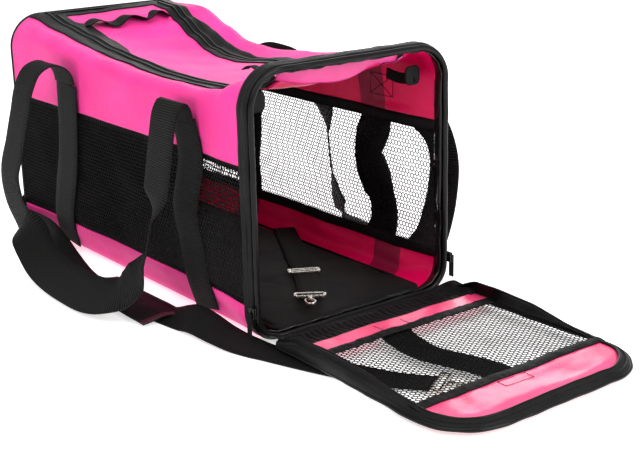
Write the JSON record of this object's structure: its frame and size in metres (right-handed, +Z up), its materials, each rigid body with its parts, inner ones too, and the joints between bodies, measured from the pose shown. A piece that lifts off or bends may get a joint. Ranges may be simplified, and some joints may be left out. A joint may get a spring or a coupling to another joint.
{
  "type": "pet carrier bag",
  "caption": "Soft duffel-style pet carrier with net windows, an open zipped front door, top flap, webbing handles, tether and shoulder strap.",
  "frame": {"origin": "centre of the underside of the bag's base", "axes": "+X towards the front opening and its door, +Z up, -Y is the side whose handle lies nearest the viewer"},
  "size_m": [0.8901, 0.4709, 0.305],
  "materials": {
    "pink_nylon": "fine woven nylon, coated inside",
    "pink_lining": "glossy coated pink cloth",
    "black_net": "black polyester net, about 5 mm mesh",
    "black_webbing": "ribbed black webbing",
    "zip_black": "woven zip tape and binding",
    "pad_nylon": "black nylon over foam and board",
    "piping_black": "glossy black piping over a wire hoop",
    "slider_black": "black enamelled zip slider",
    "nickel": "nickel-plated metal"
  },
  "bodies": {
    "bag": {"base_panel": "zip_black", "base_board": "pad_nylon", "base_pad": "pad_nylon", "near_lower_band": "pink_nylon", "far_lower_band": "pink_nylon", "near_side_net": "black_net", "far_side_net": "black_net", "near_upper_band": "pink_nylon", "far_upper_band": "pink_nylon", "near_zip_tape": "zip_black", "far_zip_tape": "zip_black", "near_zip_tab": "zip_black", "far_zip_tab": "zip_black", "near_rear_strap": "black_webbing", "near_front_strap": "black_webbing", "far_rear_strap": "black_webbing", "far_front_strap": "black_webbing", "rear_panel": "pink_nylon", "rear_net": "black_net", "front_zip_tape": "zip_black", "front_hoop": "piping_black", "hinge_pleats": "zip_black", "top_front_strip": "pink_nylon", "rear_zip_tape": "zip_black", "tether_strap": "black_webbing", "tether_eye": "nickel", "shoulder_strap": "black_webbing", "strap_eye": "nickel", "rear_ring_tab": "black_webbing"},
    "door": {"door_gusset": "zip_black", "door_hinge_flap": "zip_black", "door_inner_band": "pink_lining", "door_inner_binding": "zip_black", "door_net": "black_net", "door_outer_binding": "zip_black", "door_outer_band": "pink_lining", "door_hinge_roll": "zip_black", "door_grab_strap": "black_webbing"},
    "top_flap": {"flap_panel": "pink_nylon", "flap_near_tape": "zip_black", "flap_far_tape": "zip_black", "flap_rear_tape": "zip_black", "flap_grip_ribbon": "black_webbing"},
    "near_handle_loop": {"near_handle": "black_webbing", "handle_wrap": "pad_nylon"},
    "far_handle_loop": {"far_handle": "black_webbing"},
    "near_top_slider_body": {"near_top_slider": "slider_black"},
    "near_top_pull_body": {"near_top_pull": "black_webbing"},
    "far_top_slider_body": {"far_top_slider": "slider_black"},
    "far_top_pull_body": {"far_top_pull": "black_webbing"},
    "near_door_slider_body": {"near_door_slider": "slider_black"},
    "near_door_pull_body": {"near_door_pull": "black_webbing"},
    "far_door_slider_body": {"far_door_slider": "slider_black"},
    "far_door_pull_body": {"far_door_pull": "black_webbing"},
    "tether_hook_body": {"tether_hook": "nickel"},
    "tether_gate_body": {"tether_gate": "nickel"},
    "tether_slide_body": {"tether_slide": "nickel"},
    "strap_hook_body": {"strap_hook": "nickel"},
    "strap_gate_body": {"strap_gate": "nickel"},
    "rear_ring_body": {"rear_ring": "nickel"}
  },
  "joints": [
    {"name": "door_hinge", "type": "hinge", "parent": "bag", "child": "door", "pos_m": [0.30425, 0, 0.00875], "axis": [0, -1, 0], "range_deg": [0, 90]},
    {"name": "flap_hinge", "type": "hinge", "parent": "bag", "child": "top_flap", "pos_m": [0.25, 0, 0.2846], "axis": [0, 1, 0], "range_deg": [0, 110]},
    {"name": "near_handle_swing", "type": "hinge", "parent": "bag", "child": "near_handle_loop", "pos_m": [0, -0.1478, 0.241], "axis": [-1, 0, 0], "range_deg": [0, 165]},
    {"name": "far_handle_swing", "type": "hinge", "parent": "bag", "child": "far_handle_loop", "pos_m": [0, 0.1478, 0.241], "axis": [1, 0, 0], "range_deg": [0, 150]},
    {"name": "near_top_zip", "type": "slide", "parent": "bag", "child": "near_top_slider_body", "axis": [-1, 0, 0], "range_m": [0, 0.4]},
    {"name": "near_top_pull_swing", "type": "hinge", "parent": "near_top_slider_body", "child": "near_top_pull_body", "pos_m": [0.2355, -0.0903, 0.2891], "axis": [0, 1, 0], "range_deg": [0, 135]},
    {"name": "near_door_zip", "type": "slide", "parent": "bag", "child": "near_door_slider_body", "axis": [0, 0, 1], "range_m": [0, 0.19]},
    {"name": "near_door_pull_swing", "type": "hinge", "parent": "near_door_slider_body", "child": "near_door_pull_body", "pos_m": [0.282, -0.1498, 0.0425], "axis": [-1, 0, 0], "range_deg": [0, 150]},
    {"name": "far_top_zip", "type": "slide", "parent": "bag", "child": "far_top_slider_body", "axis": [-1, 0, 0], "range_m": [0, 0.4]},
    {"name": "far_top_pull_swing", "type": "hinge", "parent": "far_top_slider_body", "child": "far_top_pull_body", "pos_m": [0.2355, 0.0903, 0.2891], "axis": [0, 1, 0], "range_deg": [0, 135]},
    {"name": "far_door_zip", "type": "slide", "parent": "bag", "child": "far_door_slider_body", "axis": [0, 0, 1], "range_m": [0, 0.19]},
    {"name": "far_door_pull_swing", "type": "hinge", "parent": "far_door_slider_body", "child": "far_door_pull_body", "pos_m": [0.282, 0.1498, 0.0425], "axis": [1, 0, 0], "range_deg": [0, 150]},
    {"name": "tether_swivel", "type": "hinge", "parent": "bag", "child": "tether_hook_body", "pos_m": [0.2262, -0.0252, 0.019], "axis": [0.8139, -0.581, 0], "continuous": true},
    {"name": "tether_gate_lever", "type": "hinge", "parent": "tether_hook_body", "child": "tether_gate_body", "pos_m": [0.24122, -0.04125, 0.019], "axis": [0, 0, 1], "range_deg": [0, 24], "stiffness_Nm_per_rad": 0.02},
    {"name": "tether_adjust", "type": "slide", "parent": "bag", "child": "tether_slide_body", "axis": [0.8776, -0.4794, 0], "range_m": [-0.05, 0.01]},
    {"name": "strap_swivel", "type": "hinge", "parent": "bag", "child": "strap_hook_body", "pos_m": [0.4853, -0.0658, 0.0055], "axis": [0.8551, 0.5184, 0], "range_deg": [-15, 15]},
    {"name": "strap_gate_lever", "type": "hinge", "parent": "strap_hook_body", "child": "strap_gate_body", "pos_m": [0.50856, -0.05826, 0.0055], "axis": [0, 0, 1], "range_deg": [0, 24], "stiffness_Nm_per_rad": 0.02},
    {"name": "rear_ring_swing", "type": "hinge", "parent": "bag", "child": "rear_ring_body", "pos_m": [-0.2914, -0.04, 0.245], "axis": [0, 1, 0], "range_deg": [0, 120]}
  ]
}
